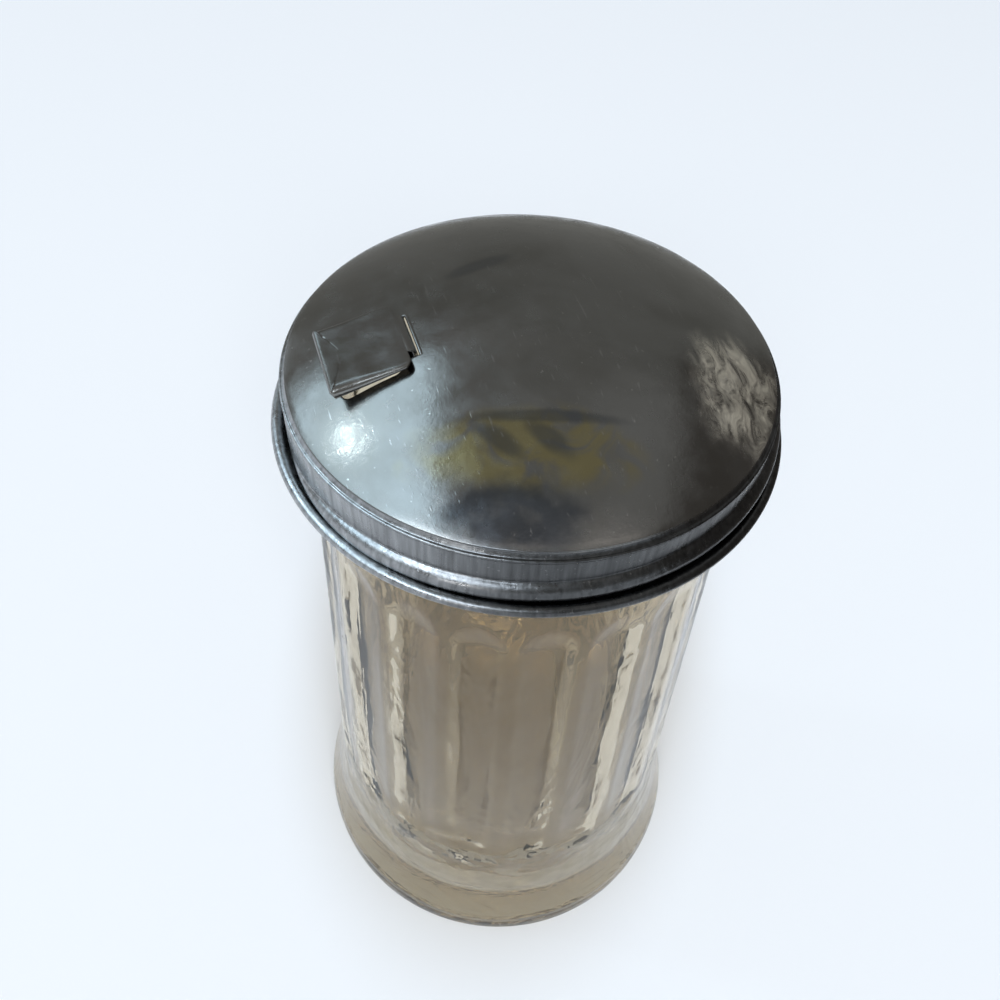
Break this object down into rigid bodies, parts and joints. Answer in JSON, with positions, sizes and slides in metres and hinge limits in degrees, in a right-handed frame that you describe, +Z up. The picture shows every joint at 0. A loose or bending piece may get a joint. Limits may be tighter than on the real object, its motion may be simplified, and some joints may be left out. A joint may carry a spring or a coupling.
{
  "type": "sugar pourer",
  "caption": "Fluted clear glass sugar pourer with a domed steel screw cap and a small loose flap over its pour hole.",
  "frame": {"origin": "centre of the base ring, in the plane the jar stands on", "axes": "+Z up along the jar's axis; -X points from the axis to the middle of the pour flap's free edge; the hinge axis is parallel to Y"},
  "size_m": [0.0792, 0.0792, 0.1436],
  "materials": {
    "jar_glass": "clear, fire-polished, slightly wavy",
    "cap_steel": "polished then worn, with fine scratches",
    "flap_steel": "polished, with bright rubbed edges"
  },
  "bodies": {
    "jar": {"glass_jar": "jar_glass"},
    "cap": {"screw_cap": "cap_steel"},
    "flap": {"pour_flap": "flap_steel"}
  },
  "joints": [
    {"name": "cap_lift", "type": "slide", "parent": "jar", "child": "cap", "axis": [0, 0, 1], "range_m": [0, 0.04]},
    {"name": "flap_open", "type": "hinge", "parent": "cap", "child": "flap", "pos_m": [-0.01835, 0, 0.14069], "axis": [0, 1, 0], "range_deg": [0, 70]}
  ]
}
